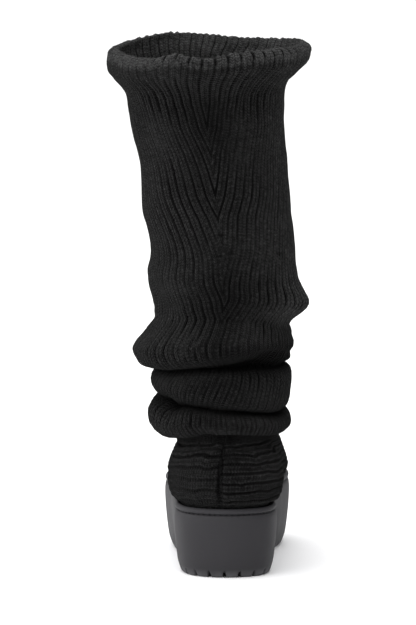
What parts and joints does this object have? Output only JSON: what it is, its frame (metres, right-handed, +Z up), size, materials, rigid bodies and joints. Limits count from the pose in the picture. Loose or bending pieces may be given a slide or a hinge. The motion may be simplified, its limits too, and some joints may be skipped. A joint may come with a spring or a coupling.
{
  "type": "sock boot",
  "caption": "Left sock boot: a slouching ribbed knit shaft with a flared cuff, sewn to a ribbed knit foot on a moulded platform cup sole.",
  "frame": {"origin": "on the floor, under the middle of the heel's tread", "axes": "+X towards the inner (big-toe) side, +Y towards the toe, +Z up; the sole stands on the plane Z = 0"},
  "size_m": [0.1471, 0.2794, 0.3886],
  "materials": {
    "sole_rubber": "matt, lightly sanded moulded rubber, dark grey",
    "insole_cloth": "plain dark textile cover",
    "foot_knit": "black wool rib knit, ribs running round the foot",
    "shaft_knit": "black wool rib knit, ribs running up the leg"
  },
  "bodies": {
    "root": {"sole": "sole_rubber", "insole": "insole_cloth", "foot_upper": "foot_knit", "shaft": "shaft_knit"}
  },
  "joints": []
}
